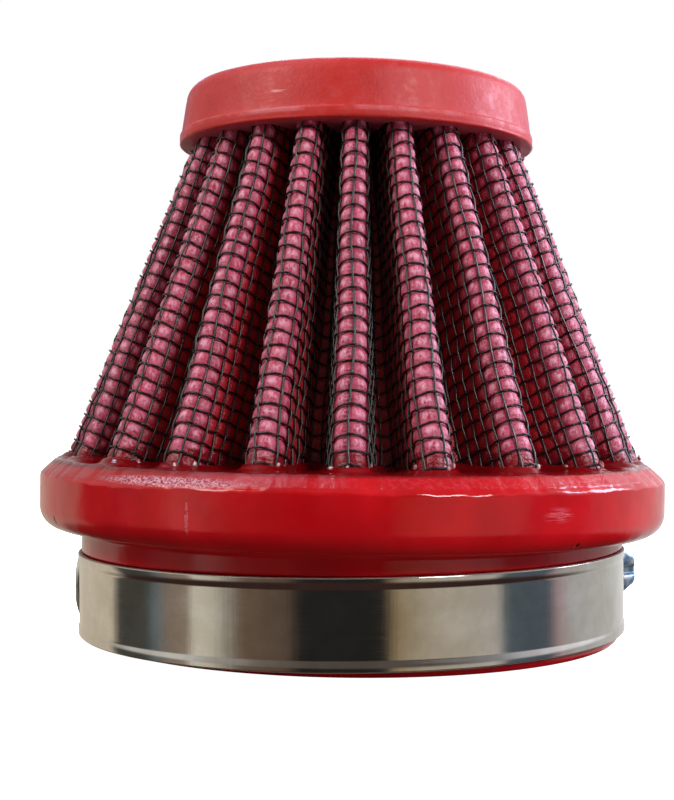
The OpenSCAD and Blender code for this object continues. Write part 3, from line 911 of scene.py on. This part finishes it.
def strip_section():
    """Section of the strip as (thickness, height), and which of its sides are cut edges."""
    # Its corners are eased by 0.1 mm, and its rims slope down over 0.25 mm
    half, edge, step = BAND_W / 2, 0.1, 0.25
    full = BAND_T + RIM_H
    rim = half - RIM_W
    hem = half - edge - 0.1
    low = [(edge, -half), (full - edge, -half), (full, -half + edge), (full, -hem)]
    low += [(full, -rim - step)]
    high = [(thick, -h) for thick, h in low[::-1]]
    outer = low + [(BAND_T, h) for h in np.linspace(-rim, rim, 25)] + high
    section = outer + [(0, half - edge)] + [(0, h) for h in np.linspace(rim, -rim, 5)]
    section += [(0, -half + edge)]
    n = len(outer)
    return np.array(section), [0, 1, n - 3, n - 2, n - 1, len(section) - 1]


def clamp_band(material, edge_material):
    """One strip: a turn round the neck, a joggle in the housing, and the free end with its thread."""
    inner, outward, arc = strip_path()
    section, cut = strip_section()
    count = len(section)
    thick = np.tile(section[:, 0], (len(inner), 1))
    height = np.tile(section[:, 1], (len(inner), 1))
    # The tip is cut round
    tip_round = 0.52 * BAND_W
    left = arc[-1] - arc
    room = np.sqrt(np.clip(tip_round**2 - np.clip(tip_round - left, 0, None) ** 2, 0.01, None))
    height *= np.minimum(1, room / (BAND_W / 2))[:, None]
    # Thread pressed into the free end: slots 1.1 mm wide and 2.1 mm apart, slightly slanted
    pitch, lead, reach = 2.1, 0.11, 3.3
    phase = ((arc[:, None] + lead * height) % pitch) / pitch
    groove = np.clip((1 - np.abs(phase - 0.5) / 0.26) * 3, 0, 1)
    mask = (np.abs(height) < reach) & (np.abs(thick - BAND_T) < 0.01)
    mask &= (arc[:, None] > 2 * math.pi * TAIL_IN_R + 2) & (left[:, None] > 6)
    thick -= 0.38 * groove * mask
    # The raised rims run out towards the tip
    raised = np.clip(thick - BAND_T, 0, None)
    thick -= raised * (1 - np.clip(left / 6, 0, 1))[:, None]
    # The cut end is rounded over
    blunt = np.sqrt(1 - np.clip(1 - left / 0.5, 0, 0.98) ** 2)
    core = (BAND_T + RIM_H) / 2
    thick = core + (thick - core) * blunt[:, None]
    flat_xy = inner[:, None, :] + thick[:, :, None] * outward[:, None, :]
    points = np.concatenate([flat_xy, height[:, :, None]], axis=-1)
    faces = grid_faces(len(inner), count)
    last = (len(inner) - 1) * count
    faces += [list(range(count))[::-1], [last + i for i in range(count)]]
    piece = new_piece("band_strip", from_clamp(points).reshape(-1, 3), faces, material)
    # The strip's two cut edges and its two ends are sheared, not rolled
    piece.data.materials.append(edge_material)
    cut_faces = np.isin(np.arange(len(faces)) % count, cut)
    cut_faces[-2:] = True
    piece.data.polygons.foreach_set("material_index", cut_faces.astype(np.int32))
    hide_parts("clamp_band")
    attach(piece, "filter")


def worn_hexagon(angle, across_flats):
    """Radius of a hexagon with corners at 30 and -30 degrees, worn round."""
    from_flat = (angle + math.pi / 6) % (math.pi / 3) - math.pi / 6
    return np.minimum(across_flats / 2 / np.cos(from_flat), across_flats * 0.545)


def clamp_screw(material):
    """The worm and collar of the solid, under a hexagonal head with worn corners and a slot."""
    ring_r = TAIL_OUT_R + 3.1
    head_from, head_to = 7.6, 12.6
    slot_w, slot_d, half_lobe = 1.0, 1.0, 2.2
    outward = np.array([math.sin(SCREW_AZ), -math.cos(SCREW_AZ), 0])
    across = np.array([math.cos(SCREW_AZ), math.sin(SCREW_AZ), 0])
    upward = np.array([0, 0, 1.0])
    solid = nodes["clamp_screw"]
    placed = np.array([solid.matrix_world @ v.co for v in solid.data.vertices]) / MM
    c, s = math.cos(TILT), math.sin(TILT)
    x, y, z = placed[:, 0], placed[:, 1], placed[:, 2] - CLAMP_Z
    # The solid's points in the clamp's own frame; those beyond the collar are its head
    inside = np.stack([x * c + z * s, y, z * c - x * s], axis=-1)
    keep = (inside @ outward) < head_from + 0.02
    rows = [list(f.vertices) for f in solid.data.polygons if keep[list(f.vertices)].all()]
    points = [inside]
    # The head is a full hexagon up to the floor of its slot, and a lobe on each side of the slot
    turn = np.linspace(0, 2 * math.pi, 72, endpoint=False)
    full = unit(turn) * worn_hexagon(turn, 7.0)[:, None]
    half = np.linspace(0.143, math.pi - 0.143, 40)
    lobe = unit(half) * worn_hexagon(half, 7.0)[:, None]
    lobe[:, 1] = np.maximum(lobe[:, 1], slot_w / 2)
    other = (lobe * np.array([1, -1]))[::-1]
    slot_floor = head_to - slot_d
    crown = [
        (slot_floor, 0.0), (head_to - 0.8, 0.05), (head_to - 0.4, 0.25),
        (head_to - 0.12, 0.6), (head_to, 1.1),
    ]
    for rim, levels in ((full, [(head_from, 0.0), (slot_floor, 0.0)]), (lobe, crown), (other, crown)):
        first = sum(len(p) for p in points)
        centre = rim.mean(axis=0)
        for level, inset in levels:
            ring = centre + (rim - centre) * (1 - inset / half_lobe)
            flat = ring[:, :1] * across + ring[:, 1:] * upward
            points.append(flat + ring_r * across + level * outward)
        rows += grid_faces(len(levels), len(rim), first)
        last = first + (len(levels) - 1) * len(rim)
        rows.append([last + i for i in range(len(rim))])
    piece = new_piece("screw_and_head", from_clamp(np.concatenate(points)), rows, material)
    piece.data.set_sharp_from_angle(angle=math.radians(38))
    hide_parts("clamp_screw")
    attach(piece, "screw")


def repaint(node, material):
    """A solid that keeps its own shape gets its material."""
    for slot in nodes[node].material_slots:
        slot.material = material


# Light, floor and camera


def card_ring(tree, place, cards):
    """A ring of cards round the part, each its direction in degrees, its brightness and its tint."""
    ramp = add(tree, "ValToRGB", {"Fac": place})
    stops = ramp.color_ramp.elements
    for i, (angle, level, code) in enumerate(cards):
        at = (angle + 180) / 360
        stop = stops[0] if i == 0 else stops.new(at)
        stop.position = at
        tint = srgb(code)[:3]
        stop.color = (*(v / max(tint) * level for v in tint), 1.0)
    return ramp


def surround():
    """What the part reflects: pale and dark cards round it, a dim zenith and a brown below."""
    world = bpy.data.worlds.new("studio surround")
    bpy.context.scene.world = world
    world.use_nodes = True
    tree = world.node_tree
    tree.nodes.clear()
    axes = add(tree, "SeparateXYZ", {0: add(tree, "TexCoord").outputs["Generated"]})
    back = add(tree, "Math", {0: axes.outputs["Y"], 1: -1.0}, operation="MULTIPLY")
    turn = add(tree, "Math", {0: axes.outputs["X"], 1: back}, operation="ARCTAN2")
    place = add(tree, "MapRange", {0: turn, 1: -math.pi, 2: math.pi})
    # Direction 0 is the side that the part is photographed from; the low ring shows in the band
    low_ring = card_ring(tree, place, (
        (-180, 0.62, "#c8beae"), (-115, 0.66, "#c8beae"), (-109, 0.06, "#4a4a46"),
        (-91, 0.07, "#4a4a46"), (-86, 0.2, "#6b7a82"), (-78, 0.26, "#8a7d72"),
        (-69, 0.3, "#8a7d72"), (-65, 0.72, "#f4efe2"), (-57, 0.66, "#f4efe2"),
        (-52, 0.4, "#98958c"), (-44, 0.16, "#6a5a4e"), (-26, 0.12, "#5a4c42"),
        (-20, 0.02, "#222222"), (13, 0.02, "#222222"), (18, 0.34, "#d0b894"),
        (25, 0.4, "#c8bca4"), (33, 0.5, "#c4bcae"), (59, 0.52, "#bcb8b4"),
        (65, 0.14, "#56646e"), (86, 0.16, "#5c6878"), (92, 0.46, "#c8b0b8"),
        (98, 0.5, "#bcbcc0"), (135, 0.62, "#c8caca"), (180, 0.62, "#c8beae"),
    ))
    high_ring = card_ring(tree, place, (
        (-180, 0.6, "#e8e8e8"), (-120, 0.5, "#f0f0f0"), (-75, 0.7, "#ffffff"),
        (-40, 0.2, "#e8e0d8"), (-15, 0.1, "#d8c8c0"), (30, 0.1, "#d8c8c0"),
        (60, 0.3, "#e0e0e8"), (95, 1.1, "#eef0ff"), (130, 1.2, "#eef0ff"), (180, 0.6, "#e8e8e8"),
    ))
    around = low_ring
    for start, full, colour in (
        (0.0, 0.14, high_ring), (0.6, 0.85, srgb("#818186")), (-0.28, -0.45, srgb("#3c2a28")),
    ):
        share = add(tree, "MapRange", {0: axes.outputs["Z"], 1: start, 2: full}, **SOFT)
        around = add(tree, "Mix", {0: share, 6: around, 7: colour}, **COLOURS)
    seen = add(tree, "LightPath").outputs["Is Camera Ray"]
    shown = add(tree, "Mix", {0: seen, 6: around, 7: srgb("#ffffff")}, **COLOURS)
    glow = add(tree, "Background", {"Color": shown, "Strength": 1.0})
    add(tree, "OutputWorld", {"Surface": glow})


def paper_floor():
    """White paper that the part stands on, see-through from below so the neck's end can be seen."""
    material, tree, _ = new_material("white paper")
    paper = add(tree, "BsdfPrincipled", {
        "Base Color": srgb("#fbfbfb"),
        "Roughness": 0.9,
        "Emission Color": srgb("#ffffff"),
        "Emission Strength": 1.0,
    })
    dull = add(tree, "BsdfDiffuse", {"Color": srgb("#8c8884")})
    seen = add(tree, "LightPath").outputs["Is Camera Ray"]
    sheet = add(tree, "MixShader", {0: seen, 1: dull, 2: paper})
    under = add(tree, "NewGeometry").outputs["Backfacing"]
    sheet = add(tree, "MixShader", {0: under, 1: sheet, 2: add(tree, "BsdfTransparent")})
    add(tree, "OutputMaterial", {"Surface": sheet})
    reach, low = 3000.0, -0.1
    corners = [(-reach, -reach, low), (reach, -reach, low), (reach, reach, low), (-reach, reach, low)]
    floor = new_piece("paper_floor", corners, [[0, 1, 2, 3]], material, smooth=False)
    floor.visible_glossy = False


def studio():
    """Pale floor and soft white light."""
    scene = bpy.context.scene
    scene.view_settings.view_transform = "Standard"
    surround()
    paper_floor()
    for name, place_mm, size_mm, power, tint in (
        ("left softbox", (-420, -215, 420), 260, 1.6, "#fffaf4"),
        ("skylight", (-170, 40, 520), 70, 0.3, "#dce6ff"),
        ("right softbox", (470, 110, 260), 220, 2.2, "#e6e4ff"),
        ("front softbox", (310, -410, 330), 160, 1.8, "#fff4fa"),
        ("back softbox", (60, 420, 380), 300, 0.9, "#f4f8ff"),
    ):
        light = bpy.data.lights.new(name, "AREA")
        light.shape = "SQUARE"
        light.size = size_mm * MM
        light.energy = power
        light.color = srgb(tint)[:3]
        lamp = bpy.data.objects.new(name, light)
        lamp.location = [v * MM for v in place_mm]
        aim = Vector((0, 0, 45 * MM)) - lamp.location
        lamp.rotation_euler = aim.to_track_quat("-Z", "Y").to_euler()
        scene.collection.objects.link(lamp)


def camera():
    """The photograph's viewpoint: level, at a third of the part's height, and rolled a little."""
    image_h = 800
    focal_px = 1426
    axis_px = 353.5
    centre_px = 337
    distance_mm = 233.6
    eye_z_mm = 37.3
    roll = math.radians(0.6)
    data = bpy.data.cameras.new("camera")
    data.sensor_fit = "AUTO"
    data.sensor_width = 36.0
    data.lens = focal_px / image_h * data.sensor_width
    data.shift_x = (centre_px - axis_px) / image_h
    data.clip_start = 0.01
    eye = bpy.data.objects.new("camera", data)
    eye.location = (0, -distance_mm * MM, eye_z_mm * MM)
    eye.rotation_mode = "XYZ"
    eye.rotation_euler = (math.pi / 2, -roll, 0)
    bpy.context.scene.collection.objects.link(eye)
    bpy.context.scene.camera = eye


gloss = gloss_polyurethane()
satin = satin_polyurethane()
base_flange(gloss)
end_cap(satin)
cotton(oiled_gauze())
# One coated wire in two shades: the warps are painted lighter as painted highlight, the wefts darker
# as painted shade
screens(coated_wire("coated warp wire", "#2c302c"), coated_wire("coated weft wire", "#161012"))
resin_beads(pale_glint_resin())
clamp_band(rolled_stainless(), sheared_stainless())
repaint("clamp_housing", stamped_stainless())
clamp_screw(blue_zinc())
studio()
camera()
